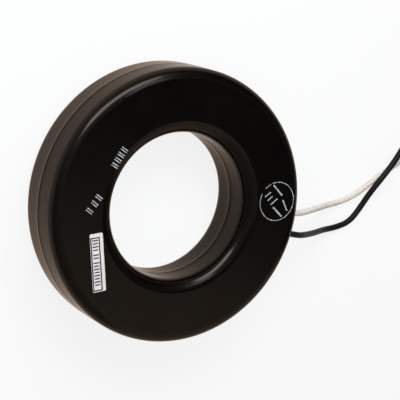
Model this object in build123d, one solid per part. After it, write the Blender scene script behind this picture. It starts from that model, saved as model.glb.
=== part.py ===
from build123d import *
import math
import os

os.makedirs("parts", exist_ok=True)

# Window current transformer: a moulded ring case in two cups, with a tape-wound steel core,
# its toroidal secondary winding and the ends of two leads inside.  Millimetres.  The origin is
# the centre of the rear face, and +Z runs along the window, out of the front (labelled) face.

# ---- case ----
CASE_OD = 119.0
WINDOW_D = 63.5
CASE_HEIGHT = 29.0
SEAM_Z = 14.5
OUTER_EDGE_R = 4.5
BORE_EDGE_R = 5.4
WALL = 2.5
FACE = 2.5
DRAFT_DEG = 0.5
CAVITY_CHAMFER = 1.6
SEAM_CHAMFER = 0.35
LAP_HEIGHT = 1.5
LAP_THICKNESS = 1.1
LAP_GAP = 0.1
RIB_COUNT = 4
RIB_THICKNESS = 1.5
RIB_START_DEG = 42.0
SEAT_GAP = 0.1

# ---- leads ----
LEAD_D = 2.8
LEAD_SIDES = 8
CONDUCTOR_D = 1.3
BLACK_DEG = 8.3
WHITE_DEG = 17.1
HOLE_GAP = 0.35
LEAD_INSIDE = 6.5
LEAD_STRAIGHT = 4.5
STRIP_LENGTH = 5.0
END_STRIP = 9.0

# ---- splices ----
SPLICE_D = 3.2
SPLICE_BORE = 1.9
SPLICE_LENGTH = 9.0
SPLICE_GAP = 0.5
CRIMP_D = 2.0
CRIMP_DEPTH = 0.35
SLEEVE_WALL = 0.25
SLEEVE_GAP = 0.05
SLEEVE_OVERLAP = 2.0
ROOF_GAP = 0.6

# ---- wound ring, from the outside in ----
RING_WALL_GAP = 1.2
RING_BASE_GAP = 1.1
TAPE = 0.4
TAPE_CORNER = 1.4
LAYER_GAP = 0.15
WIRE_D = 1.6
WIRE_SIDES = 6
TURNS = 32
TURN_CORNER = 1.2
SLOT_GAP = 0.35
WASHER = 0.8
WASHER_CHAMFER = 0.65
CORE_SLEEVE = 0.5
CORE_GAP = 0.1
STRIP_END = 0.3
STRIP_END_WIDTH = 1.2

# ---- label ----
LABEL_LENGTH = 25.0
LABEL_WIDTH = 6.3
LABEL_THICKNESS = 0.15
LABEL_FROM_EDGE = 16.0
LABEL_DEG = -127.9
LABEL_TURN_DEG = -60.1

# ---- put-away coils ----
BLACK_COIL_AT = (117.0, 111.0)
WHITE_COIL_AT = (146.0, 64.4)
BLACK_COIL_R = 16.0
WHITE_COIL_R = 17.1
COIL_ACROSS = 3
COIL_LAYERS = 2
COIL_SLACK = 0.2
COIL_CHAMFER = 1.0
TIE = 0.5
TIE_GAP = 0.1
TIE_WIDTH = 2.5
TIE_CORNER = 1.2
HEAD_DEPTH = 2.6
HEAD_WIDTH = 4.2
HEAD_HEIGHT = 3.6
TIE_TAIL = 2.5
BLACK_TIE_DEG = 20.0
WHITE_TIE_DEG = 60.0
BLACK_END_DEG = 119.8
WHITE_END_DEG = -14.8
END_DROP_DEG = 6.0

# ---- sizes that follow ----
CASE_R = CASE_OD / 2
BORE_R = WINDOW_D / 2
CAVITY_OUT = CASE_R - WALL
CAVITY_IN = BORE_R + WALL
CEILING = CASE_HEIGHT - FACE
SLEEVE_R = SPLICE_D / 2 + SLEEVE_GAP + SLEEVE_WALL
LEAD_Z = CEILING - ROOF_GAP - SLEEVE_R
LEAD_START_R = CASE_R - LEAD_INSIDE
SPLICE_END_R = LEAD_START_R - SPLICE_GAP
RING_IN = CAVITY_IN + RING_WALL_GAP
RING_OUT = CAVITY_OUT - RING_WALL_GAP
RING_LOW = FACE + RING_BASE_GAP
RING_HIGH = LEAD_Z - SLEEVE_R - SEAT_GAP
WIRE_INSET = TAPE + LAYER_GAP + WIRE_D / 2
CORE_INSET = WIRE_INSET + WIRE_D / 2 + LAYER_GAP
LABEL_R = CASE_R - LABEL_FROM_EDGE
COIL_LOW = TIE + TIE_GAP
COIL_HIGH = COIL_LOW + COIL_LAYERS * LEAD_D + COIL_SLACK
COIL_HALF = COIL_ACROSS * LEAD_D / 2 + COIL_SLACK


def flat_radius(diameter, sides):
    """The corner radius of a polygon with as much section as a round wire."""
    step = 2 * math.pi / sides
    return diameter / 2 * math.sqrt(step / math.sin(step))


WIRE_HEX_R = flat_radius(WIRE_D, WIRE_SIDES)


def polar(radius, z, degrees):
    """A point at a radius, a height and an angle round the window."""
    angle = math.radians(degrees)
    return (radius * math.cos(angle), radius * math.sin(angle), z)


# ---- lead routes from splice to coil: the points outside the case are chosen by hand ----
FLOOR_Z = LEAD_D / 2
BLACK_ROUTE = [
    polar(LEAD_START_R, LEAD_Z, BLACK_DEG), polar(CASE_R + LEAD_STRAIGHT, LEAD_Z, BLACK_DEG),
    (73.5, 12.3, 16.6), (83.2, 15.0, 8.9), (90.4, 17.6, 3.6), (97.8, 20.9, FLOOR_Z),
    (104.2, 26.0, FLOOR_Z), (106.4, 33.6, 1.7), (107.2, 42.0, 3.4), (109.4, 51.4, 4.9),
    (112.4, 61.4, 4.9), (115.6, 72.0, 3.0), (120.6, 82.8, 1.7), (127.4, 91.6, 2.0)]
WHITE_ROUTE = [
    polar(LEAD_START_R, LEAD_Z, WHITE_DEG), polar(CASE_R + LEAD_STRAIGHT, LEAD_Z, WHITE_DEG),
    (70.9, 22.9, 16.4), (80.4, 26.3, 9.0), (87.2, 28.7, 3.6), (94.1, 32.3, FLOOR_Z),
    (100.2, 37.7, FLOOR_Z), (105.0, 44.3, FLOOR_Z), (110.4, 52.7, FLOOR_Z),
    (117.0, 61.4, 1.5), (123.4, 69.6, 2.0)]
ARC_SHARE = 0.45


def ring(inner, outer, low, high, corner=0.0):
    """A ring about the window's axis, with the four corners of its section cut back."""
    section = Pos((inner + outer) / 2, (low + high) / 2) * Rectangle(outer - inner, high - low)
    if corner > 0:
        section = chamfer(section.vertices(), corner)
    return revolve(Plane.XZ * section, Axis.Z)


def wound_ring(inset, corner=0.0):
    """The wound ring's outer shape, moved in by a thickness on every side."""
    return ring(RING_IN + inset, RING_OUT - inset, RING_LOW + inset, RING_HIGH - inset, corner)


def along_lead(degrees):
    """The place where local +X runs outwards along a lead, at its height."""
    return Pos(0, 0, LEAD_Z) * Rot(0, 0, degrees)


def rod(radius, start, end):
    """A round rod along local X."""
    return Pos((start + end) / 2, 0, 0) * Rot(0, 90, 0) * Cylinder(radius, end - start)


# ---- case: two cups that meet at a lap joint ----
def cup_section(depth, inset):
    """Half the section of a cup's solid, moved in by a wall; seam at 0, face at the depth."""
    rim = depth - inset
    lean = rim * math.tan(math.radians(DRAFT_DEG))
    inner, outer = BORE_R + inset, CASE_R - inset
    return make_face(Polyline((inner, 0), (outer, 0), (outer - lean, rim), (inner, rim), close=True))


def rim_corners(section):
    """The section's two corners at its face, the bore side first."""
    return section.vertices().sort_by(Axis.Y)[-2:].sort_by(Axis.X)


def cup_outside(depth):
    """The cup as a full solid, with its rounded bore edge and outer edge."""
    section = cup_section(depth, 0)
    section = fillet(rim_corners(section)[0], BORE_EDGE_R)
    section = fillet(rim_corners(section)[-1], OUTER_EDGE_R)
    return revolve(Plane.XZ * section, Axis.Z)


def cup_cavity(depth, inset):
    """The room inside a cup, with its corners cut back under the rounded edges."""
    section = cup_section(depth, inset)
    section = chamfer(rim_corners(section), CAVITY_CHAMFER)
    return revolve(Plane.XZ * section, Axis.Z)


def cup(depth):
    """One cup, seam down: rounded face, drafted wall, straight bore wall, open underneath."""
    shell = cup_outside(depth) - cup_cavity(depth, WALL)
    edges = shell.edges().filter_by(GeomType.CIRCLE).group_by(Axis.Z)[0].sort_by(SortBy.RADIUS)
    return chamfer([edges[0], edges[-1]], SEAM_CHAMFER)


def lap_ring(low, high, gap):
    """The two rings of the lap joint, along the cavity side of the outer and the bore wall."""
    outside = ring(CAVITY_OUT - gap, CAVITY_OUT + LAP_THICKNESS + gap, low, high)
    inside = ring(CAVITY_IN - LAP_THICKNESS - gap, CAVITY_IN + gap, low, high)
    return [outside, inside]


def seat_ribs(low, high, cavity):
    """Ribs across the cavity that hold the wound ring off the walls and the faces."""
    web = Pos((CAVITY_IN + CAVITY_OUT) / 2, 0, (low + high) / 2)
    web = web * Box(CAVITY_OUT - CAVITY_IN + WALL, RIB_THICKNESS, high - low)
    webs = [Rot(0, 0, RIB_START_DEG + 360 * i / RIB_COUNT) * web for i in range(RIB_COUNT)]
    seat = wound_ring(-SEAT_GAP, TAPE_CORNER)
    return [(web & cavity) - seat for web in webs]


def rear_cover():
    place = Pos(0, 0, SEAM_Z)
    shell = place * mirror(cup(SEAM_Z), Plane.XY)
    cavity = place * mirror(cup_cavity(SEAM_Z, WALL / 2), Plane.XY)
    tongues = lap_ring(SEAM_Z - LAP_GAP, SEAM_Z + LAP_HEIGHT, 0)
    return shell + tongues + seat_ribs(0, SEAM_Z, cavity)


def lead_holes():
    bore = rod(LEAD_D / 2 + HOLE_GAP, CAVITY_OUT - WALL, CASE_R + WALL)
    return [along_lead(degrees) * bore for degrees in (BLACK_DEG, WHITE_DEG)]


def front_cover():
    place = Pos(0, 0, SEAM_Z)
    depth = CASE_HEIGHT - SEAM_Z
    shell = place * cup(depth)
    cavity = place * cup_cavity(depth, WALL / 2)
    above_lap = SEAM_Z + LAP_HEIGHT + 2 * LAP_GAP
    ribbed = shell + seat_ribs(above_lap, CASE_HEIGHT, cavity)
    return ribbed - lap_ring(SEAM_Z - LAP_GAP, SEAM_Z + LAP_HEIGHT + LAP_GAP, LAP_GAP) - lead_holes()


def side_label():
    sticker = extrude(Rectangle(LABEL_LENGTH, LABEL_WIDTH), LABEL_THICKNESS)
    return Pos(*polar(LABEL_R, CASE_HEIGHT, LABEL_DEG)) * Rot(0, 0, LABEL_TURN_DEG) * sticker


# ---- wound ring ----
def core_washer(front):
    """A flat insulating ring on one end of the core, with its outer corners cut back."""
    inner, outer = RING_IN + CORE_INSET, RING_OUT - CORE_INSET
    low, high = RING_LOW + CORE_INSET, RING_HIGH - CORE_INSET
    washer = ring(inner, outer, high - WASHER, high) if front else ring(inner, outer, low, low + WASHER)
    levels = washer.edges().group_by(Axis.Z)
    return chamfer(levels[-1] if front else levels[0], WASHER_CHAMFER)


def core_sleeve(outside):
    """The strip of insulation round the core, or the one inside it."""
    low, high = RING_LOW + CORE_INSET + WASHER, RING_HIGH - CORE_INSET - WASHER
    if outside:
        edge = RING_OUT - CORE_INSET
        return ring(edge - CORE_SLEEVE, edge, low + CORE_GAP, high - CORE_GAP)
    edge = RING_IN + CORE_INSET
    return ring(edge, edge + CORE_SLEEVE, low + CORE_GAP, high - CORE_GAP)


def steel_core():
    """A roll of steel strip, with a small step where its first and its last lap end."""
    inset = CORE_INSET + CORE_SLEEVE + CORE_GAP
    end_inset = CORE_INSET + WASHER + CORE_GAP
    low, high = RING_LOW + end_inset, RING_HIGH - end_inset
    roll = ring(RING_IN + inset, RING_OUT - inset, low, high)
    notch = Box(2 * STRIP_END, STRIP_END_WIDTH, high - low)
    last = Pos(RING_OUT - inset, 0, (low + high) / 2) * notch
    first = Rot(0, 0, 180) * Pos(RING_IN + inset, 0, (low + high) / 2) * notch
    return roll - last - first


def winding_path():
    """The wire's line: a tail in, turn after turn round the core's section, a tail out."""
    inner, outer = RING_IN + WIRE_INSET, RING_OUT - WIRE_INSET
    low, high = RING_LOW + WIRE_INSET, RING_HIGH - WIRE_INSET
    tail_r = LEAD_START_R - STRIP_LENGTH - SPLICE_GAP
    start, cut = WHITE_DEG, TURN_CORNER
    pitch = (360 - (WHITE_DEG - BLACK_DEG)) / TURNS
    points = [polar(tail_r, LEAD_Z, start), polar(inner, LEAD_Z, start)]
    for turn in range(TURNS):
        here = start + turn * pitch
        half, after = here + pitch / 2, here + pitch
        points += [polar(inner, low + cut, here), polar(inner + cut, low, here)]
        points += [polar(outer - cut, low, half), polar(outer, low + cut, half)]
        points += [polar(outer, high - cut, half), polar(outer - cut, high, half)]
        points += [polar(inner + cut, high, after)]
        if turn < TURNS - 1:
            points += [polar(inner, high - cut, after)]
    points += [polar(inner, high + cut, BLACK_DEG), polar(inner, LEAD_Z, BLACK_DEG)]
    points += [polar(tail_r, LEAD_Z, BLACK_DEG)]
    return points


def secondary_winding():
    """Enamelled wire swept round the core as one piece, its round section kept as a hexagon."""
    points = winding_path()
    heading = Vector(*points[1]) - Vector(*points[0])
    section = Plane(origin=points[0], z_dir=heading) * RegularPolygon(WIRE_HEX_R, WIRE_SIDES)
    return sweep(section, path=Polyline(*points), transition=Transition.RIGHT)


def winding_tape():
    """The tape skin over the winding, open where the two tails come out."""
    inner_corner = TAPE_CORNER - TAPE * (2 - math.sqrt(2))
    skin = wound_ring(0, TAPE_CORNER) - wound_ring(TAPE, inner_corner)
    reach = RING_IN + WIRE_INSET + TURN_CORNER + WIRE_HEX_R + SLOT_GAP
    depth = reach - CAVITY_IN
    slot = Box(depth, 2 * (WIRE_HEX_R + SLOT_GAP), 2 * (TAPE_CORNER + SLOT_GAP))
    slot = Pos(reach - depth / 2, 0, RING_HIGH) * slot
    return skin - [Rot(0, 0, degrees) * slot for degrees in (BLACK_DEG, WHITE_DEG)]


# ---- splices, built along a lead's own +X ----
def splice(degrees):
    """A crimped butt connector: a metal tube with a dent over each conductor."""
    start = SPLICE_END_R - SPLICE_LENGTH
    tube = rod(SPLICE_D / 2, start, SPLICE_END_R) - rod(SPLICE_BORE / 2, start - 1, SPLICE_END_R + 1)
    height = SPLICE_D / 2 + CRIMP_D / 2 - CRIMP_DEPTH
    tool = Rot(90, 0, 0) * Cylinder(CRIMP_D / 2, SPLICE_D)
    dents = [Pos(start + SPLICE_LENGTH * share, 0, height) * tool for share in (0.27, 0.73)]
    return along_lead(degrees) * (tube - dents)


def splice_sleeve(degrees):
    """Shrink sleeve over a splice, drawn in at both ends on to the lead and the tail."""
    start, end = SPLICE_END_R - SPLICE_LENGTH, SPLICE_END_R
    tail_in, lead_in = WIRE_HEX_R + SLEEVE_GAP, LEAD_D / 2 + SLEEVE_GAP
    body_in = SPLICE_D / 2 + SLEEVE_GAP
    line = [(start - SLEEVE_OVERLAP, tail_in), (start - SLEEVE_GAP, body_in)]
    line += [(end + SLEEVE_GAP, body_in), (end + SLEEVE_OVERLAP, lead_in)]
    outside = [(x, y + SLEEVE_WALL) for x, y in reversed(line)]
    section = make_face(Polyline(*line, *outside, close=True))
    return along_lead(degrees) * revolve(section, Axis.X)


def inner_conductor(degrees):
    """The stripped conductor that runs from the lead's insulation into the splice."""
    return along_lead(degrees) * rod(CONDUCTOR_D / 2, LEAD_START_R - STRIP_LENGTH, LEAD_START_R)


# ---- leads ----
def arc_radii(points):
    """The largest tangent arc that each corner's two runs leave room for."""
    radii = []
    for before, here, after in zip(points, points[1:], points[2:]):
        leg_in, leg_out = Vector(*here) - Vector(*before), Vector(*after) - Vector(*here)
        half_turn = math.radians(leg_in.get_angle(leg_out)) / 2
        radii.append(ARC_SHARE * min(leg_in.length, leg_out.length) / math.tan(half_turn))
    return radii


def lead_tube(name, points):
    """The insulation of a lead's uncoiled stretch: straight runs joined by tangent arcs."""
    radii = arc_radii(points)
    path = FilletPolyline(*points, radius=radii)
    section = Plane(origin=points[0], z_dir=path % 0) * RegularPolygon(LEAD_D / 2, LEAD_SIDES)
    tube = sweep(section, path=path)
    expected = path.length * section.area
    print(name, "length %.1f, volume over section x length %.5f" % (path.length, tube.volume / expected))
    print("  arc radii", [round(radius, 1) for radius in radii])
    return tube


def coil(centre, mean_radius):
    """The outer shape of a put-away coil, a hair above the floor on its tie."""
    inner, outer = mean_radius - COIL_HALF, mean_radius + COIL_HALF
    bundle = ring(inner, outer, COIL_LOW, COIL_HIGH)
    return Pos(*centre, 0) * chamfer(bundle.edges().filter_by(GeomType.CIRCLE), COIL_CHAMFER)


def coil_tie(centre, mean_radius, degrees):
    """A moulded cable tie round a coil: strap, head and cropped tail in one piece."""
    reach, height = COIL_HALF + TIE_GAP, COIL_HIGH - COIL_LOW + 2 * TIE_GAP
    middle = (COIL_LOW + COIL_HIGH) / 2
    hole = chamfer(Rectangle(2 * reach, height).vertices(), TIE_CORNER - TIE)
    loop = chamfer(Rectangle(2 * (reach + TIE), height + 2 * TIE).vertices(), TIE_CORNER) - hole
    strap = Pos(0, 0, middle) * extrude(Plane.XZ * loop, TIE_WIDTH / 2, both=True)
    head_x = reach + HEAD_DEPTH / 2
    head = Pos(head_x, 0, middle) * Box(HEAD_DEPTH, HEAD_WIDTH, HEAD_HEIGHT)
    tail = Pos(head_x + TIE / 2, 0, middle + TIE_TAIL / 2) * Box(TIE, TIE_WIDTH, HEAD_HEIGHT + TIE_TAIL)
    place = Pos(*centre, 0) * Rot(0, 0, degrees) * Pos(mean_radius, 0, 0)
    return place * (strap + head + tail)


def lead_end(centre, mean_radius, degrees, clockwise):
    """The bare end of a lead, where it leaves the top of its coil along a tangent."""
    turn_radius = mean_radius + (COIL_ACROSS - 1) * LEAD_D / 2
    clear = mean_radius + COIL_HALF + CONDUCTOR_D
    run = math.sqrt(clear ** 2 - turn_radius ** 2)
    height = COIL_HIGH - LEAD_D / 2 - run * math.tan(math.radians(END_DROP_DEG))
    side = -1 if clockwise else 1
    wire = Rot(90, 0, 0) * Cylinder(CONDUCTOR_D / 2, END_STRIP)
    wire = Rot(-END_DROP_DEG * side, 0, 0) * Pos(0, side * END_STRIP / 2, 0) * wire
    return Pos(*centre, 0) * Rot(0, 0, degrees) * Pos(turn_radius, side * run, height) * wire


NODES = {
    "front_cover": front_cover(),
    "rear_cover": rear_cover(),
    "side_label": side_label(),
    "steel_core": steel_core(),
    "core_washer_front": core_washer(True),
    "core_washer_rear": core_washer(False),
    "core_sleeve_outer": core_sleeve(True),
    "core_sleeve_inner": core_sleeve(False),
    "secondary_winding": secondary_winding(),
    "winding_tape": winding_tape(),
    "black_conductor": inner_conductor(BLACK_DEG),
    "white_conductor": inner_conductor(WHITE_DEG),
    "black_splice": splice(BLACK_DEG),
    "white_splice": splice(WHITE_DEG),
    "black_sleeve": splice_sleeve(BLACK_DEG),
    "white_sleeve": splice_sleeve(WHITE_DEG),
    "black_lead": lead_tube("black_lead", BLACK_ROUTE),
    "white_lead": lead_tube("white_lead", WHITE_ROUTE),
    "black_coil": coil(BLACK_COIL_AT, BLACK_COIL_R),
    "white_coil": coil(WHITE_COIL_AT, WHITE_COIL_R),
    "black_coil_tie": coil_tie(BLACK_COIL_AT, BLACK_COIL_R, BLACK_TIE_DEG),
    "white_coil_tie": coil_tie(WHITE_COIL_AT, WHITE_COIL_R, WHITE_TIE_DEG),
    "black_lead_end": lead_end(BLACK_COIL_AT, BLACK_COIL_R, BLACK_END_DEG, False),
    "white_lead_end": lead_end(WHITE_COIL_AT, WHITE_COIL_R, WHITE_END_DEG, True),
}

for node, solid in NODES.items():
    export_step(solid, f"parts/{node}.step")
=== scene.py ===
import bpy
import math
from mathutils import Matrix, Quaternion, Vector


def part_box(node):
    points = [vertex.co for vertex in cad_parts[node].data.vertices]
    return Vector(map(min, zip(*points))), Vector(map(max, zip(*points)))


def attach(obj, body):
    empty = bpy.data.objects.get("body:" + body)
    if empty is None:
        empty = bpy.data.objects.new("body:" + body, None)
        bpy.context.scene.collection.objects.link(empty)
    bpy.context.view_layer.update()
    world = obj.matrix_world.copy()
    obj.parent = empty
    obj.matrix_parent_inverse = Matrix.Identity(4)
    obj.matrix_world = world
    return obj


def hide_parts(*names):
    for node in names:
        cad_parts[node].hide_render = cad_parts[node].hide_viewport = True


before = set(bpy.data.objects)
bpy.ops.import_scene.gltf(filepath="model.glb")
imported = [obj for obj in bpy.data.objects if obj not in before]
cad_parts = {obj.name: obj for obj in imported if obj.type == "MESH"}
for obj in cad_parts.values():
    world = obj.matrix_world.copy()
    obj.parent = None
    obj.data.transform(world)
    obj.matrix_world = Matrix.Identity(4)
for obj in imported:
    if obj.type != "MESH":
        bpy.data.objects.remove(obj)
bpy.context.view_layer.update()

# Window current transformer lying on its rear face.  Metres, in the frame of the CAD model:
# the origin is the centre of the rear face, and +Z runs out of the labelled front face.

MM = 0.001
FRONT_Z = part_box("front_cover")[1][2]
LABEL_LOW, LABEL_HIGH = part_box("side_label")
SEAM_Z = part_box("front_cover")[0][2]

# ---- leads: along the CAD model's routes, moved a little where they leave the case ----
LEAD_D = 2.8 * MM
BLACK_DEG = 8.3
WHITE_DEG = 17.1
LEAD_START_R = 53.0 * MM
BLACK_OUT_R = 64.0 * MM
WHITE_OUT_R = 61.5 * MM
LEAD_Z = 24.0 * MM
BLACK_POINTS = [
    (0.0736, 0.0117, 0.0167), (0.0833, 0.0145, 0.0090), (0.0905, 0.0172, 0.0037),
    (0.0979, 0.0205, 0.0014), (0.1043, 0.0257, 0.0014), (0.1066, 0.0334, 0.0017),
    (0.1072, 0.0420, 0.0034), (0.1094, 0.0514, 0.0049), (0.1124, 0.0614, 0.0049),
    (0.1156, 0.0720, 0.0030), (0.1206, 0.0828, 0.0017), (0.1274, 0.0916, 0.0020)]
WHITE_POINTS = [
    (0.0709, 0.0229, 0.0164), (0.0804, 0.0263, 0.0090), (0.0872, 0.0287, 0.0036),
    (0.0941, 0.0323, 0.0014), (0.1002, 0.0377, 0.0014), (0.1050, 0.0443, 0.0014),
    (0.1104, 0.0527, 0.0014), (0.1170, 0.0614, 0.0015), (0.1234, 0.0696, 0.0020)]

# ---- put-away coils: two layers of three turns ----
BLACK_COIL_AT = Vector((0.1170, 0.1110, 0))
WHITE_COIL_AT = Vector((0.1460, 0.0644, 0))
BLACK_COIL_R = 16.0 * MM
WHITE_COIL_R = 17.1 * MM
LOW_TURN_Z = 2.0 * MM
HIGH_TURN_Z = 5.0 * MM
POINTS_PER_TURN = 16
LOW_TURNS = 2.0
WHOLE_TURNS = 4
CLIMB_TURNS = 0.35
BLACK_COIL_DEG = (-35.0, 119.8)
WHITE_COIL_DEG = (140.0, -14.8)
END_RUN = 10.84 * MM
END_DROP = math.tan(math.radians(6))
END_STRIP = 9.0 * MM
CONDUCTOR_D = 1.3 * MM
STRANDS = 7
STRAND_TWIST = math.radians(300)

# ---- coil ties ----
BLACK_TIE_DEG = 20.0
WHITE_TIE_DEG = 60.0
TIE_THICK = 0.5 * MM
TIE_WIDTH = 2.5 * MM
TIE_REACH = 5.0 * MM
TIE_HALF_HEIGHT = 3.5 * MM
TIE_MIDDLE_Z = 3.5 * MM
TIE_CORNER = 1.2 * MM
HEAD_SIZE = (2.6 * MM, 4.2 * MM, 3.6 * MM)
HEAD_X = 5.8 * MM
TAIL_LENGTH = 5.6 * MM
TAIL_X = 6.05 * MM
TAIL_MIDDLE_Z = 5.0 * MM
TAIL_LOW_Z = 2.2 * MM
TEETH = 14

# ---- print on the front face ----
INK_THICK = 0.02 * MM
INK_Z = FRONT_Z + INK_THICK / 2
STROKE_WIDTH = 0.45 * MM
STROKE_GAP = 1.0 * MM
MARK_HEIGHT = 3.4 * MM
SHORT_MARK = [(-39.8, -16.1), (-39.0, -12.6), (-38.3, -9.6)]
LONG_MARK = [(-37.5, 5.0), (-37.2, 7.5), (-36.8, 10.0), (-36.3, 12.4)]
STAMP_AT = (42.8 * MM, 19.3 * MM)
STAMP_R = 8.7 * MM
STAMP_LINE = 0.30 * MM
STAMP_GAPS = ((131, 138), (160, 177))
LABEL_TURN = math.radians(-60.1)
LABEL_SIZE = (25.0 * MM, 5.9 * MM)
LABEL_SHIFT = -0.1 * MM
LABEL_THICK = 0.12 * MM
FRAME_SIZE = (23.1 * MM, 4.3 * MM, 1)
FRAME_AT = (0.7 * MM, -0.7 * MM, 0)
FRAME_LINE = 0.56 * MM
TICK_GROUPS = ((-9.5, 4), (-3.3, 2), (0.1, 4), (5.5, 4))
TICK_STEP = 1.35
TICK_WIDTH = 0.55 * MM
LONG_TICK = 2.7
SHORT_TICK = 2.3

# ---- case: how far the walls' shading is tilted, as a slope ----
FRONT_LEAN = -0.045
REAR_LEAN = 0.015

# ---- studio ----
STUDIO_WHITE = (0.973, 0.973, 0.973)
FLOOR_R = 4
CAMERA_AT = (-0.31703, 0.0, 0.55452)
CAMERA_AIM = (0.015314, 0.006405, 0.0145)
CAMERA_ROLL = math.radians(112.664)
LENS = 131.16


# ---- small tools ----
def deselect():
    """Leaves nothing selected."""
    for thing in bpy.context.selected_objects:
        thing.select_set(False)


def take(name):
    """The primitive that was just added, under its own name."""
    piece = bpy.context.object
    piece.name = name
    piece.data.name = name
    return piece


def copy_of(piece, name):
    """Another piece of the same shape, with a mesh and a name of its own."""
    twin = piece.copy()
    twin.data = piece.data.copy()
    twin.name = name
    twin.data.name = name
    bpy.context.collection.objects.link(twin)
    return twin


def make_active(piece):
    deselect()
    piece.select_set(True)
    bpy.context.view_layer.objects.active = piece


def pick_faces(piece, wanted):
    """Goes to edit mode with the wanted faces selected."""
    make_active(piece)
    bpy.ops.object.mode_set(mode="EDIT")
    bpy.ops.mesh.select_mode(type="FACE")
    bpy.ops.mesh.select_all(action="DESELECT")
    bpy.ops.object.mode_set(mode="OBJECT")
    for face in piece.data.polygons:
        face.select = wanted(face)
    bpy.ops.object.mode_set(mode="EDIT")


def pick_edges(piece, wanted):
    """Goes to edit mode with the edges selected whose two ends are wanted."""
    make_active(piece)
    bpy.ops.object.mode_set(mode="EDIT")
    bpy.ops.mesh.select_mode(type="EDGE")
    bpy.ops.mesh.select_all(action="DESELECT")
    bpy.ops.object.mode_set(mode="OBJECT")
    corners = piece.data.vertices
    for edge in piece.data.edges:
        edge.select = wanted(corners[edge.vertices[0]].co, corners[edge.vertices[1]].co)
    bpy.ops.object.mode_set(mode="EDIT")


def leave_edit():
    bpy.ops.object.mode_set(mode="OBJECT")


def block(name, size, centre=(0, 0, 0)):
    """A box of this size, the start of a piece."""
    deselect()
    bpy.ops.mesh.primitive_cube_add(size=1, location=centre)
    piece = take(name)
    piece.scale = size
    bpy.ops.object.transform_apply(location=True, rotation=True, scale=True)
    return piece


def upright(a, b):
    """True for an edge that runs along Z."""
    return abs(a.x - b.x) < 1e-7 and abs(a.y - b.y) < 1e-7


def put(piece, turn, at):
    """Turns a piece made at the origin about Z, moves it to its place and fixes it there."""
    make_active(piece)
    piece.rotation_euler = (0, 0, turn)
    piece.location = at
    bpy.ops.object.transform_apply(location=True, rotation=True, scale=True)
    return piece


def join_pieces(name, parts):
    deselect()
    for part in parts:
        part.select_set(True)
    bpy.context.view_layer.objects.active = parts[0]
    bpy.ops.object.join()
    return take(name)


def finish_piece(piece, material):
    piece.data.materials.clear()
    piece.data.materials.append(material)
    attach(piece, "root")
    return piece


# ---- shader tools ----
def new_material(name):
    material = bpy.data.materials.new(name)
    material.use_nodes = True
    tree = material.node_tree
    return material, tree, tree.nodes["Principled BSDF"]


def put_in(tree, socket, value):
    """Sets a socket to a value, or links it to another node's output."""
    if isinstance(value, bpy.types.NodeSocket):
        tree.links.new(value, socket)
    else:
        socket.default_value = value


def maths(tree, operation, first, second=0.0):
    node = tree.nodes.new("ShaderNodeMath")
    node.operation = operation
    put_in(tree, node.inputs[0], first)
    put_in(tree, node.inputs[1], second)
    return node.outputs[0]


def own_place(tree):
    """The piece's own coordinates."""
    return tree.nodes.new("ShaderNodeTexCoord").outputs["Object"]


def axes_of(tree, vector):
    """A vector's X, Y and Z."""
    split = tree.nodes.new("ShaderNodeSeparateXYZ")
    tree.links.new(vector, split.inputs[0])
    return split.outputs


def noise(tree, vector, scale, detail=2.0, roughness=0.5):
    node = tree.nodes.new("ShaderNodeTexNoise")
    node.inputs["Scale"].default_value = scale
    node.inputs["Detail"].default_value = detail
    node.inputs["Roughness"].default_value = roughness
    tree.links.new(vector, node.inputs["Vector"])
    return node.outputs["Fac"]


def spread(tree, value, low, high, to_low, to_high):
    """Maps a value from one range to another, held at both ends."""
    node = tree.nodes.new("ShaderNodeMapRange")
    node.clamp = True
    put_in(tree, node.inputs["Value"], value)
    node.inputs["From Min"].default_value = low
    node.inputs["From Max"].default_value = high
    node.inputs["To Min"].default_value = to_low
    node.inputs["To Max"].default_value = to_high
    return node.outputs["Result"]


def blend_colours(tree, share, first, second):
    node = tree.nodes.new("ShaderNodeMix")
    node.data_type = "RGBA"
    put_in(tree, node.inputs["Factor"], share)
    put_in(tree, node.inputs["A"], first if not isinstance(first, tuple) else (*first, 1))
    put_in(tree, node.inputs["B"], second if not isinstance(second, tuple) else (*second, 1))
    return node.outputs["Result"]


def vector_of(tree, x, y, z):
    node = tree.nodes.new("ShaderNodeCombineXYZ")
    put_in(tree, node.inputs[0], x)
    put_in(tree, node.inputs[1], y)
    put_in(tree, node.inputs[2], z)
    return node.outputs[0]


def bump(tree, shader, height, depth, under=None):
    """Raises the surface by up to a depth in metres, over another bump if there is one."""
    node = tree.nodes.new("ShaderNodeBump")
    node.inputs["Strength"].default_value = 1.0
    node.inputs["Distance"].default_value = depth
    tree.links.new(height, node.inputs["Height"])
    if under is not None:
        tree.links.new(under, node.inputs["Normal"])
    tree.links.new(node.outputs["Normal"], shader.inputs["Normal"])
    return node.outputs["Normal"]


def round_place(tree, axes):
    """Radius and angle about the window, from the piece's X and Y."""
    flat = vector_of(tree, axes[0], axes[1], 0.0)
    length = tree.nodes.new("ShaderNodeVectorMath")
    length.operation = "LENGTH"
    tree.links.new(flat, length.inputs[0])
    return length.outputs["Value"], maths(tree, "ARCTAN2", axes[1], axes[0])


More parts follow.
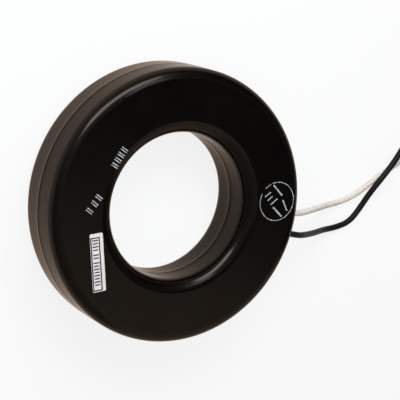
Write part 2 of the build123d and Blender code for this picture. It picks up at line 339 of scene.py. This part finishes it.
# ---- finishes ----
def case_plastic(name, lean):
    """Moulded black plastic with a brown cast; lean tilts the walls' shading, not their shape."""
    material, tree, shader = new_material(name)
    whole = own_place(tree)
    axes = axes_of(tree, whole)
    radius, angle = round_place(tree, axes)
    streak_at = vector_of(tree, maths(tree, "MULTIPLY", angle, 0.0016), axes[2],
                          maths(tree, "MULTIPLY", radius, 0.03))
    streaks = noise(tree, streak_at, 2600, 3.0, 0.6)
    clouds = noise(tree, whole, 45, 3.0, 0.55)
    peel = noise(tree, whole, 900, 1.0)
    specks = noise(tree, whole, 2400, 1.0)
    dust = spread(tree, specks, 0.72, 0.80, 0.0, 0.30)
    warm = spread(tree, clouds, 0.35, 0.65, 0.0, 1.0)
    black = blend_colours(tree, warm, (0.0015, 0.0017, 0.0019), (0.0023, 0.0020, 0.0019))
    tinted = blend_colours(tree, dust, black, (0.045, 0.042, 0.038))
    tree.links.new(tinted, shader.inputs["Base Color"])
    worn = maths(tree, "ADD", spread(tree, streaks, 0.3, 0.7, -0.02, 0.03),
                 spread(tree, clouds, 0.3, 0.7, 0.155, 0.195))
    tree.links.new(worn, shader.inputs["Roughness"])
    shader.inputs["IOR"].default_value = 1.31
    shader.inputs["Coat IOR"].default_value = 1.05
    shader.inputs["Coat Roughness"].default_value = 0.2
    shader.inputs["Coat Tint"].default_value = (0.83, 0.71, 0.61, 1)
    from_seam = maths(tree, "ABSOLUTE", maths(tree, "SUBTRACT", axes[2], SEAM_Z))
    # Gloss and coat fade out within half a millimetre of the seam: painted shade along the seam's
    # groove.
    outside_painted_seam_shade = spread(tree, from_seam, 0.25 * MM, 0.5 * MM, 0.0, 1.0)
    tree.links.new(maths(tree, "MULTIPLY", outside_painted_seam_shade, 0.5), shader.inputs["Specular IOR Level"])
    tree.links.new(outside_painted_seam_shade, shader.inputs["Coat Weight"])
    ridge = spread(tree, from_seam, 0.3 * MM, 2.2 * MM, 1.0, 0.0)
    first = bump(tree, shader, peel, 0.003 * MM)
    second = bump(tree, shader, streaks, 0.004 * MM, first)
    third = bump(tree, shader, ridge, 0.16 * MM, second)
    bump(tree, shader, maths(tree, "MULTIPLY", axes[2], lean), 1.0, third)
    return material


def label_paper():
    """Off-white film label with a slight mottle and a soft sheen."""
    material, tree, shader = new_material("label_paper")
    whole = own_place(tree)
    mottle = noise(tree, whole, 500, 3.0)
    colour = blend_colours(tree, spread(tree, mottle, 0.35, 0.7, 0.0, 1.0),
                           (0.80, 0.755, 0.735), (0.74, 0.695, 0.675))
    tree.links.new(colour, shader.inputs["Base Color"])
    shader.inputs["Roughness"].default_value = 0.5
    bump(tree, shader, noise(tree, whole, 3500, 2.0), 0.004 * MM)
    return material


def pad_ink(name, full, thin):
    """Pad-printed ink that thins out in places."""
    material, tree, shader = new_material(name)
    whole = own_place(tree)
    coverage = spread(tree, noise(tree, whole, 1400, 2.0), 0.38, 0.62, 0.0, 1.0)
    tree.links.new(blend_colours(tree, coverage, full, thin), shader.inputs["Base Color"])
    shader.inputs["Roughness"].default_value = 0.55
    return material


def lead_skin(name, full, worn, roughness, shine):
    """Extruded wire insulation: a faint mottle, a few dull scuffs and a gentle waviness."""
    material, tree, shader = new_material(name)
    whole = own_place(tree)
    mottle = spread(tree, noise(tree, whole, 110, 2.0), 0.35, 0.70, 0.0, 1.0)
    scuffs = spread(tree, noise(tree, whole, 420, 2.0), 0.60, 0.75, 0.0, 1.0)
    tree.links.new(blend_colours(tree, mottle, full, worn), shader.inputs["Base Color"])
    tree.links.new(spread(tree, scuffs, 0.0, 1.0, roughness, roughness + 0.10),
                   shader.inputs["Roughness"])
    shader.inputs["Specular IOR Level"].default_value = shine
    bump(tree, shader, noise(tree, whole, 260, 1.0), 0.02 * MM)
    return material


def wound_steel():
    """The core's strip: its edges as fine rings on the ends, a rolled grain round the sides."""
    material, tree, shader = new_material("wound_steel_strip")
    axes = axes_of(tree, own_place(tree))
    radius, angle = round_place(tree, axes)
    laps_at = vector_of(tree, radius, maths(tree, "MULTIPLY", angle, 0.0006), 0.0)
    laps = noise(tree, laps_at, 3600, 1.0)
    grain_at = vector_of(tree, maths(tree, "MULTIPLY", angle, 0.002), axes[2], radius)
    grain = noise(tree, grain_at, 1800, 3.0)
    tone = maths(tree, "MULTIPLY", laps, grain)
    colour = blend_colours(tree, spread(tree, tone, 0.12, 0.40, 0.0, 1.0),
                           (0.20, 0.20, 0.21), (0.50, 0.50, 0.52))
    tree.links.new(colour, shader.inputs["Base Color"])
    tree.links.new(spread(tree, grain, 0.3, 0.7, 0.30, 0.48), shader.inputs["Roughness"])
    shader.inputs["Metallic"].default_value = 1.0
    bump(tree, shader, laps, 0.03 * MM)
    return material


def pressboard():
    """Tan fibre board with specks of fibre."""
    material, tree, shader = new_material("pressboard")
    whole = own_place(tree)
    fibres = noise(tree, whole, 1100, 4.0, 0.7)
    colour = blend_colours(tree, spread(tree, fibres, 0.35, 0.65, 0.0, 1.0),
                           (0.42, 0.29, 0.15), (0.60, 0.46, 0.28))
    tree.links.new(colour, shader.inputs["Base Color"])
    shader.inputs["Roughness"].default_value = 0.75
    bump(tree, shader, fibres, 0.03 * MM)
    return material


def enamelled_wire():
    """Copper under a clear amber enamel, darker where the enamel runs thick."""
    material, tree, shader = new_material("enamelled_copper_wire")
    whole = own_place(tree)
    runs = noise(tree, whole, 220, 2.0)
    colour = blend_colours(tree, spread(tree, runs, 0.3, 0.7, 0.0, 1.0),
                           (0.42, 0.11, 0.03), (0.66, 0.24, 0.08))
    tree.links.new(colour, shader.inputs["Base Color"])
    shader.inputs["Metallic"].default_value = 0.85
    tree.links.new(spread(tree, runs, 0.3, 0.7, 0.22, 0.34), shader.inputs["Roughness"])
    shader.inputs["Coat Weight"].default_value = 0.6
    return material


def lapped_tape():
    """Yellow film tape wound round the ring: a lap edge every few degrees."""
    material, tree, shader = new_material("winding_tape_film")
    whole = own_place(tree)
    axes = axes_of(tree, whole)
    angle = round_place(tree, axes)[1]
    laps = maths(tree, "FRACT", maths(tree, "MULTIPLY", angle, 48 / (2 * math.pi)))
    wrinkles = noise(tree, whole, 320, 3.0)
    edge = spread(tree, laps, 0.0, 0.14, 1.0, 0.0)
    tone = maths(tree, "ADD", maths(tree, "MULTIPLY", edge, 0.5),
                 maths(tree, "MULTIPLY", wrinkles, 0.5))
    colour = blend_colours(tree, tone, (0.74, 0.58, 0.20), (0.50, 0.34, 0.09))
    tree.links.new(colour, shader.inputs["Base Color"])
    tree.links.new(spread(tree, wrinkles, 0.3, 0.7, 0.30, 0.50), shader.inputs["Roughness"])
    bump(tree, shader, maths(tree, "ADD", laps, wrinkles), 0.05 * MM)
    return material


def tinned_metal(name, roughness):
    """Dull tin plate with fine scratches."""
    material, tree, shader = new_material(name)
    whole = own_place(tree)
    scratches = noise(tree, whole, 1700, 3.0, 0.65)
    colour = blend_colours(tree, spread(tree, scratches, 0.3, 0.7, 0.0, 1.0),
                           (0.52, 0.52, 0.51), (0.74, 0.74, 0.73))
    tree.links.new(colour, shader.inputs["Base Color"])
    shader.inputs["Metallic"].default_value = 1.0
    tree.links.new(spread(tree, scratches, 0.3, 0.7, roughness, roughness + 0.14),
                   shader.inputs["Roughness"])
    bump(tree, shader, scratches, 0.006 * MM)
    return material


def shrink_sleeving():
    """Matt black shrink sleeve with a fine, uneven skin."""
    material, tree, shader = new_material("shrink_sleeving")
    whole = own_place(tree)
    skin = noise(tree, whole, 1300, 3.0)
    colour = blend_colours(tree, spread(tree, skin, 0.3, 0.7, 0.0, 1.0),
                           (0.012, 0.012, 0.013), (0.028, 0.028, 0.029))
    tree.links.new(colour, shader.inputs["Base Color"])
    tree.links.new(spread(tree, skin, 0.3, 0.7, 0.5, 0.65), shader.inputs["Roughness"])
    bump(tree, shader, skin, 0.02 * MM)
    return material


def tie_nylon():
    """Natural nylon: milky, with a moulded grain."""
    material, tree, shader = new_material("natural_nylon")
    whole = own_place(tree)
    grain = noise(tree, whole, 900, 3.0)
    colour = blend_colours(tree, spread(tree, grain, 0.3, 0.7, 0.0, 1.0),
                           (0.74, 0.73, 0.68), (0.82, 0.81, 0.77))
    tree.links.new(colour, shader.inputs["Base Color"])
    tree.links.new(spread(tree, grain, 0.3, 0.7, 0.35, 0.5), shader.inputs["Roughness"])
    bump(tree, shader, grain, 0.01 * MM)
    return material


# ---- leads ----
def polar(radius, z, degrees):
    angle = math.radians(degrees)
    return Vector((radius * math.cos(angle), radius * math.sin(angle), z))


def first_points(degrees, out_radius):
    """Straight out of the splice and through the wall."""
    return [polar(LEAD_START_R, LEAD_Z, degrees), polar(out_radius, LEAD_Z, degrees)]


def coil_points(centre, mean_radius, degrees, way):
    """Turns inwards on the floor, up, and outwards on top; way is 1 for counter-clockwise."""
    start, end = degrees
    turns = WHOLE_TURNS + ((end - start) * way % 360) / 360
    count = round(turns * POINTS_PER_TURN)
    # a spline of this order runs a little inside its control points
    swell = 1 / (0.75 + 0.25 * math.cos(2 * math.pi / POINTS_PER_TURN))
    points = []
    for step in range(count + 1):
        turned = turns * step / count
        inwards = min(turned, LOW_TURNS)
        outwards = (max(0.0, turned - LOW_TURNS - CLIMB_TURNS / 2)
                    / (turns - LOW_TURNS - CLIMB_TURNS / 2))
        radius = mean_radius + LEAD_D * (1 - inwards) + 2 * LEAD_D * outwards
        climb = min(max((turned - LOW_TURNS) / CLIMB_TURNS, 0.0), 1.0)
        height = LOW_TURN_Z + (HIGH_TURN_Z - LOW_TURN_Z) * climb
        points.append(centre + polar(radius * swell, height, start + 360 * turned * way))
    return points


def end_points(centre, mean_radius, degrees, way):
    """Off the top turn along its tangent, down a little, to where the insulation stops."""
    angle = math.radians(degrees[1])
    off = centre + polar(mean_radius + LEAD_D, HIGH_TURN_Z, degrees[1])
    along = way * Vector((-math.sin(angle), math.cos(angle), 0)) - Vector((0, 0, END_DROP))
    return [off + along * END_RUN * share for share in (0.35, 1.0)]


def lead(name, points, material):
    """A lead's insulation as one smooth line from the splice to the stripped end."""
    curve = bpy.data.curves.new(name, "CURVE")
    curve.dimensions = "3D"
    curve.bevel_depth = LEAD_D / 2
    curve.bevel_resolution = 5
    curve.resolution_u = 6
    curve.use_fill_caps = True
    spline = curve.splines.new("NURBS")
    spline.points.add(len(points) - 1)
    for control, place in zip(spline.points, points):
        control.co = (*place, 1)
    spline.order_u = 3
    spline.use_endpoint_u = True
    curve.materials.append(material)
    piece = bpy.data.objects.new(name, curve)
    bpy.context.collection.objects.link(piece)
    return piece


def strand_bundle(name):
    """Six strands twisted round a seventh, standing on the origin."""
    strand_r = CONDUCTOR_D / 6
    deselect()
    bpy.ops.mesh.primitive_cylinder_add(vertices=10, radius=strand_r, depth=END_STRIP,
                                        location=(0, 0, END_STRIP / 2))
    middle = take(name)
    bpy.ops.object.transform_apply(location=True, rotation=True, scale=True)
    pick_edges(middle, upright)
    bpy.ops.mesh.subdivide(number_cuts=23)
    leave_edit()
    parts = [middle]
    for number in range(1, STRANDS):
        parts.append(put(copy_of(middle, name), 0, polar(2 * strand_r, 0, 60 * number)))
    bundle = join_pieces(name, parts)
    twist = bundle.modifiers.new("twist", "SIMPLE_DEFORM")
    twist.deform_method = "TWIST"
    twist.deform_axis = "Z"
    twist.angle = STRAND_TWIST
    bpy.ops.object.modifier_apply(modifier="twist")
    return bundle


def lay_strands(bundle, centre, mean_radius, degrees, way, material):
    """Sets a bundle of tinned strands where a lead's insulation is stripped off."""
    last, end = end_points(centre, mean_radius, degrees, way)
    lie = (end - last).to_track_quat("Z", "Y")
    make_active(bundle)
    bundle.rotation_mode = "QUATERNION"
    bundle.rotation_quaternion = lie
    bundle.location = end
    bpy.ops.object.transform_apply(location=True, rotation=True, scale=True)
    bpy.ops.object.shade_smooth_by_angle(angle=math.radians(40))
    return finish_piece(bundle, material)


# ---- coil ties ----
def tie_strap(name):
    """The strap as a rounded loop round the bundle, its width along Y."""
    strap = block(name, (2 * TIE_REACH, TIE_WIDTH, 2 * TIE_HALF_HEIGHT), (0, 0, TIE_MIDDLE_Z))
    pick_faces(strap, lambda face: abs(face.normal.y) > 0.9)
    bpy.ops.mesh.delete(type="ONLY_FACE")
    leave_edit()
    pick_edges(strap, lambda a, b: abs(a.x - b.x) < 1e-7 and abs(a.z - b.z) < 1e-7)
    bpy.ops.mesh.bevel(offset=TIE_CORNER, segments=5, affect="EDGES")
    leave_edit()
    wall = strap.modifiers.new("wall", "SOLIDIFY")
    wall.thickness = TIE_THICK
    wall.offset = -1
    bpy.ops.object.modifier_apply(modifier="wall")
    return strap


def tie_head(name):
    """The locking head, with rounded edges and the mouth that the tail comes out of."""
    head = block(name, HEAD_SIZE, (HEAD_X, 0, TIE_MIDDLE_Z))
    pick_faces(head, lambda face: face.normal.z > 0.9)
    bpy.ops.mesh.inset(thickness=0.55 * MM)
    bpy.ops.mesh.extrude_region_move(TRANSFORM_OT_translate={"value": (0, 0, -0.8 * MM)})
    leave_edit()
    soft = head.modifiers.new("soft", "BEVEL")
    soft.width = 0.22 * MM
    soft.segments = 2
    soft.limit_method = "ANGLE"
    bpy.ops.object.modifier_apply(modifier="soft")
    return head


def tie_tail(name):
    """The cropped tail that stands out of the head, with its ratchet teeth."""
    tail = block(name, (TIE_THICK, TIE_WIDTH, TAIL_LENGTH), (TAIL_X, 0, TAIL_MIDDLE_Z))
    pick_edges(tail, upright)
    bpy.ops.mesh.subdivide(number_cuts=TEETH - 1)
    leave_edit()
    step = TAIL_LENGTH / TEETH
    pick_faces(tail, lambda face: (face.normal.x > 0.9
                                   and int((face.center.z - TAIL_LOW_Z) / step) % 2 == 0))
    bpy.ops.mesh.inset(thickness=0.08 * MM, use_individual=True)
    bpy.ops.mesh.extrude_region_move(TRANSFORM_OT_translate={"value": (-0.12 * MM, 0, 0)})
    leave_edit()
    return tail


def cable_tie(name):
    """A closed tie: strap, head and tail."""
    tie = join_pieces(name, [tie_strap(name), tie_head(name), tie_tail(name)])
    bpy.ops.object.shade_smooth_by_angle(angle=math.radians(35))
    return tie


def fit_tie(tie, centre, mean_radius, degrees, material):
    """Sets a tie round a coil's turns."""
    put(tie, math.radians(degrees), centre + polar(mean_radius, 0, degrees))
    return finish_piece(tie, material)


# ---- print and label ----
def ink_stroke(name, length, width):
    """A flat stroke of ink with rounded ends, along X."""
    stroke = block(name, (length, width, INK_THICK))
    pick_edges(stroke, upright)
    bpy.ops.mesh.bevel(offset=width * 0.42, segments=3, affect="EDGES")
    leave_edit()
    return stroke


def double_strokes(name, places, height):
    """A row of plain double strokes, all standing square to the row."""
    row = (Vector(places[-1]) - Vector(places[0])).normalized()
    spots = [Vector((x * MM, y * MM)) + row * STROKE_GAP * side
             for x, y in places for side in (-0.5, 0.5)]
    first = ink_stroke(name, height, STROKE_WIDTH)
    parts = [first] + [copy_of(first, name) for _ in spots[1:]]
    for stroke, spot in zip(parts, spots):
        put(stroke, math.atan2(row.x, -row.y), (spot.x, spot.y, INK_Z))
    return join_pieces(name, parts)


def stamp_ring(name):
    """A thin hand-stamped circle of uneven width, broken where the ink missed."""
    deselect()
    bpy.ops.mesh.primitive_circle_add(vertices=120, radius=STAMP_R, fill_type="NGON")
    ring = take(name)
    pick_faces(ring, lambda face: True)
    bpy.ops.mesh.inset(thickness=STAMP_LINE)
    bpy.ops.mesh.delete(type="FACE")
    leave_edit()
    pick_faces(ring, in_stamp_gap)
    bpy.ops.mesh.delete(type="FACE")
    bpy.ops.mesh.select_all(action="SELECT")
    bpy.ops.transform.vertex_random(offset=0.09 * MM, uniform=0.0, normal=0.0, seed=4)
    leave_edit()
    for corner in ring.data.vertices:
        corner.co.z = 0
    pick_faces(ring, lambda face: True)
    bpy.ops.mesh.extrude_region_move(TRANSFORM_OT_translate={"value": (0, 0, INK_THICK)})
    bpy.ops.mesh.select_all(action="SELECT")
    bpy.ops.mesh.normals_make_consistent(inside=False)
    leave_edit()
    return put(ring, 0, (*STAMP_AT, FRONT_Z))


def in_stamp_gap(face):
    """True for the two places where the circle did not print."""
    degrees = math.degrees(math.atan2(face.center.y, face.center.x))
    return any(low < degrees < high for low, high in STAMP_GAPS)


def stamp_strokes(name):
    """Plain strokes inside the circle: three long, and three short across them."""
    lines = [((-5.0, 5.9), (1.3, 3.3), 0.70), ((2.6, 1.6), (6.8, -1.9), 0.65),
             ((-0.7, -3.0), (5.5, -5.2), 0.75), ((-6.6, -0.4), (-4.8, 2.6), 0.55),
             ((-4.6, -1.4), (-3.1, 1.3), 0.50), ((-2.4, -2.6), (-0.3, 1.2), 0.55)]
    parts = []
    for start, end, width in lines:
        run = (Vector(end) - Vector(start)) * MM
        middle = Vector(STAMP_AT) + (Vector(start) + Vector(end)) * MM / 2
        stroke = ink_stroke(name, run.length, width * MM)
        parts.append(put(stroke, math.atan2(run.y, run.x), (middle.x, middle.y, INK_Z)))
    return join_pieces(name, parts)


def label_place():
    low, high = Vector(LABEL_LOW), Vector(LABEL_HIGH)
    return (low + high) / 2


def film_label(name):
    """The label with its rounded corners."""
    label = block(name, (*LABEL_SIZE, LABEL_THICK))
    pick_edges(label, upright)
    bpy.ops.mesh.bevel(offset=0.6 * MM, segments=4, affect="EDGES")
    leave_edit()
    middle = label_place() + Vector((0, LABEL_SHIFT, 0))
    return put(label, LABEL_TURN, (middle.x, middle.y, FRONT_Z + LABEL_THICK / 2))


def label_frame(name):
    """A thin printed frame, set towards one corner of the label."""
    deselect()
    bpy.ops.mesh.primitive_plane_add(size=1)
    border = take(name)
    border.scale = FRAME_SIZE
    border.location = FRAME_AT
    bpy.ops.object.transform_apply(location=True, rotation=True, scale=True)
    pick_faces(border, lambda face: True)
    bpy.ops.mesh.inset(thickness=FRAME_LINE)
    bpy.ops.mesh.delete(type="FACE")
    leave_edit()
    pick_faces(border, lambda face: True)
    bpy.ops.mesh.extrude_region_move(TRANSFORM_OT_translate={"value": (0, 0, INK_THICK)})
    bpy.ops.mesh.select_all(action="SELECT")
    bpy.ops.mesh.normals_make_consistent(inside=False)
    leave_edit()
    return border


def label_ticks(name):
    """Four groups of plain ticks along the label, long and short by turns."""
    parts = []
    for odd, tall in enumerate((LONG_TICK, SHORT_TICK)):
        places = [first + TICK_STEP * number
                  for first, count in TICK_GROUPS for number in range(odd, count, 2)]
        tick = block(name, (TICK_WIDTH, tall * MM, INK_THICK), (0, FRAME_AT[1], INK_THICK / 2))
        pick_edges(tick, upright)
        bpy.ops.mesh.bevel(offset=0.1 * MM, segments=2, affect="EDGES")
        leave_edit()
        row = [tick] + [copy_of(tick, name) for _ in places[1:]]
        parts += [put(piece, 0, (x * MM, 0, 0)) for piece, x in zip(row, places)]
    return join_pieces(name, parts)


def label_print(name):
    print_piece = join_pieces(name, [label_frame(name), label_ticks(name)])
    middle = label_place()
    return put(print_piece, LABEL_TURN, (middle.x, middle.y, FRONT_Z + LABEL_THICK))


# ---- the object ----
black_insulation = lead_skin("black_lead_insulation", (0.0045, 0.0040, 0.0036),
                             (0.009, 0.008, 0.007), 0.46, 0.12)
white_insulation = lead_skin("white_lead_insulation", (0.73, 0.66, 0.585),
                             (0.69, 0.61, 0.53), 0.45, 0.25)
white_ink = pad_ink("white_pad_ink", (0.50, 0.51, 0.53), (0.22, 0.225, 0.23))
black_ink = pad_ink("black_label_ink", (0.010, 0.010, 0.010), (0.03, 0.03, 0.03))
nylon = tie_nylon()
tinned = tinned_metal("tinned_strands", 0.32)
board = pressboard()
sleeving = shrink_sleeving()
connector = tinned_metal("tinned_connector", 0.24)
front_plastic = case_plastic("front_cup_plastic", FRONT_LEAN)
rear_plastic = case_plastic("rear_cup_plastic", REAR_LEAN)

NODE_FINISH = {
    "front_cover": front_plastic, "rear_cover": rear_plastic, "steel_core": wound_steel(),
    "core_washer_front": board, "core_washer_rear": board,
    "core_sleeve_outer": board, "core_sleeve_inner": board,
    "secondary_winding": enamelled_wire(), "winding_tape": lapped_tape(),
    "black_conductor": tinned, "white_conductor": tinned,
    "black_splice": connector, "white_splice": connector,
    "black_sleeve": sleeving, "white_sleeve": sleeving,
}
for node, finish in NODE_FINISH.items():
    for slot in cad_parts[node].material_slots:
        slot.material = finish

new_tie = cable_tie("black_coil_cable_tie")
second_tie = copy_of(new_tie, "white_coil_cable_tie")
black_tie = fit_tie(new_tie, BLACK_COIL_AT, BLACK_COIL_R, BLACK_TIE_DEG, nylon)
white_tie = fit_tie(second_tie, WHITE_COIL_AT, WHITE_COIL_R, WHITE_TIE_DEG, nylon)
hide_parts("black_coil_tie")
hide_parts("white_coil_tie")
new_bundle = strand_bundle("black_lead_strands")
second_bundle = copy_of(new_bundle, "white_lead_strands")
black_end = lay_strands(new_bundle, BLACK_COIL_AT, BLACK_COIL_R, BLACK_COIL_DEG, 1, tinned)
white_end = lay_strands(second_bundle, WHITE_COIL_AT, WHITE_COIL_R, WHITE_COIL_DEG, -1, tinned)
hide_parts("black_lead_end")
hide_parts("white_lead_end")

black_route = first_points(BLACK_DEG, BLACK_OUT_R) + BLACK_POINTS
black_route += coil_points(BLACK_COIL_AT, BLACK_COIL_R, BLACK_COIL_DEG, 1)
black_route += end_points(BLACK_COIL_AT, BLACK_COIL_R, BLACK_COIL_DEG, 1)
black_lead = lead("black_hook_up_lead", black_route, black_insulation)
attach(black_lead, "root")
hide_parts("black_lead", "black_coil")

white_route = first_points(WHITE_DEG, WHITE_OUT_R) + WHITE_POINTS
white_route += coil_points(WHITE_COIL_AT, WHITE_COIL_R, WHITE_COIL_DEG, -1)
white_route += end_points(WHITE_COIL_AT, WHITE_COIL_R, WHITE_COIL_DEG, -1)
white_lead = lead("white_hook_up_lead", white_route, white_insulation)
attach(white_lead, "root")
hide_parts("white_lead", "white_coil")

label = finish_piece(film_label("film_label"), label_paper())
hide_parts("side_label")
finish_piece(label_print("label_print"), black_ink)
finish_piece(double_strokes("short_mark", SHORT_MARK, MARK_HEIGHT), white_ink)
finish_piece(double_strokes("long_mark", LONG_MARK, MARK_HEIGHT), white_ink)
finish_piece(stamp_ring("stamp_ring"), white_ink)
finish_piece(stamp_strokes("stamp_strokes"), white_ink)


# ---- studio ----
def floor_finish():
    """A pale seamless floor: white where it shows or is mirrored, with the object's shadow."""
    material, tree, shader = new_material("pale_floor")
    shader.inputs["Base Color"].default_value = (0.9, 0.9, 0.9, 1)
    shader.inputs["Roughness"].default_value = 1.0
    shader.inputs["Specular IOR Level"].default_value = 0.0
    rays = tree.nodes.new("ShaderNodeLightPath").outputs
    mirrored = maths(tree, "MAXIMUM", rays["Is Glossy Ray"], rays["Is Transmission Ray"])
    share = maths(tree, "MAXIMUM", maths(tree, "MULTIPLY", rays["Is Camera Ray"], 0.87),
                  maths(tree, "MULTIPLY", mirrored, 0.75))
    glow = tree.nodes.new("ShaderNodeEmission")
    glow.inputs["Color"].default_value = (*STUDIO_WHITE, 1)
    mix = tree.nodes.new("ShaderNodeMixShader")
    tree.links.new(share, mix.inputs[0])
    tree.links.new(shader.outputs[0], mix.inputs[1])
    tree.links.new(glow.outputs[0], mix.inputs[2])
    tree.links.new(mix.outputs[0], tree.nodes["Material Output"].inputs["Surface"])
    return material


def floor():
    deselect()
    bpy.ops.mesh.primitive_circle_add(vertices=96, radius=FLOOR_R, fill_type="NGON")
    ground = take("studio_floor")
    ground.data.materials.append(floor_finish())


def softbox(name, azimuth, elevation, away, size, radiance, roll=0, colour=(1, 1, 1),
            mirrored=True):
    """A rectangular panel of light that faces the object; azimuth is round from +X."""
    panel = bpy.data.lights.new(name, "AREA")
    panel.shape = "RECTANGLE"
    panel.size, panel.size_y = size
    panel.energy = radiance * math.pi * size[0] * size[1]
    panel.color = colour
    thing = bpy.data.objects.new(name, panel)
    up = math.radians(elevation)
    out = polar(math.cos(up), math.sin(up), azimuth)
    thing.location = Vector((0, 0, FRONT_Z / 2)) + out * away
    thing.rotation_mode = "QUATERNION"
    thing.rotation_quaternion = (out.to_track_quat("Z", "Y")
                                 @ Quaternion((0, 0, 1), math.radians(roll)))
    thing.visible_camera = False
    thing.visible_glossy = mirrored
    bpy.context.collection.objects.link(thing)


def ceiling():
    """The dim room that the gloss mirrors: white along the horizon, tan to pale towards -Y,
    nearly black towards +Y but for a grey shelf, and grey behind and round the key softbox.
    """
    world = bpy.data.worlds.new("studio")
    bpy.context.scene.world = world
    world.use_nodes = True
    tree = world.node_tree
    background = tree.nodes["Background"]
    coordinates = tree.nodes.new("ShaderNodeTexCoord").outputs["Generated"]
    x, y, z = axes_of(tree, coordinates)
    warm = blend_colours(tree, spread(tree, x, 0.38, 0.46, 0.0, 1.0),
                         (0.44, 0.405, 0.37), (0.90, 0.82, 0.75))
    room = blend_colours(tree, spread(tree, y, -0.055, 0.0, 0.0, 1.0), warm, (0.04, 0.04, 0.05))
    shelf = maths(tree, "MULTIPLY", spread(tree, y, 0.12, 0.2, 0.0, 1.0),
                  spread(tree, y, 0.35, 0.55, 1.0, 0.0))
    room = blend_colours(tree, shelf, room, (0.20, 0.185, 0.17))
    room = blend_colours(tree, spread(tree, x, -0.6, 0.1, 1.0, 0.0), room, (0.25, 0.25, 0.26))
    towards_key = tree.nodes.new("ShaderNodeVectorMath")
    towards_key.operation = "DOT_PRODUCT"
    tree.links.new(coordinates, towards_key.inputs[0])
    towards_key.inputs[1].default_value = polar(0.731, 0.682, 131)
    halo = spread(tree, towards_key.outputs["Value"], 0.58, 0.88, 0.0, 1.0)
    room = blend_colours(tree, halo, room, (0.50, 0.49, 0.47))
    shown = blend_colours(tree, spread(tree, z, 0.08, 0.16, 0.0, 1.0), STUDIO_WHITE, room)
    rays = tree.nodes.new("ShaderNodeLightPath").outputs
    seen = maths(tree, "MAXIMUM", rays["Is Camera Ray"], rays["Is Glossy Ray"])
    seen = maths(tree, "MAXIMUM", seen, rays["Is Transmission Ray"])
    lit = blend_colours(tree, seen, (0.30, 0.30, 0.30), shown)
    tree.links.new(lit, background.inputs["Color"])
    background.inputs["Strength"].default_value = 1.0


def camera():
    """Looks down at the ring from the side away from the leads, rolled over."""
    lens = bpy.data.cameras.new("camera")
    lens.sensor_width = 36
    lens.lens = LENS
    lens.clip_start = 0.01
    lens.clip_end = 50
    thing = bpy.data.objects.new("camera", lens)
    thing.location = CAMERA_AT
    look = (Vector(CAMERA_AIM) - thing.location).to_track_quat("-Z", "Y")
    thing.rotation_mode = "QUATERNION"
    thing.rotation_quaternion = look @ Quaternion((0, 0, 1), CAMERA_ROLL)
    bpy.context.collection.objects.link(thing)
    bpy.context.scene.camera = thing


floor()
ceiling()
softbox("key_softbox", 129, 43, 0.46, (0.41, 0.17), 9.4, roll=167, colour=(0.96, 1.0, 1.05))
softbox("upper_strip", 86, 62, 0.33, (0.13, 0.06), 4.2, roll=138, colour=(0.85, 1.0, 1.25))
softbox("overhead_fill", 200, 80, 1.1, (1.2, 1.2), 0.38, mirrored=False)
camera()
bpy.context.scene.view_settings.view_transform = "Standard"
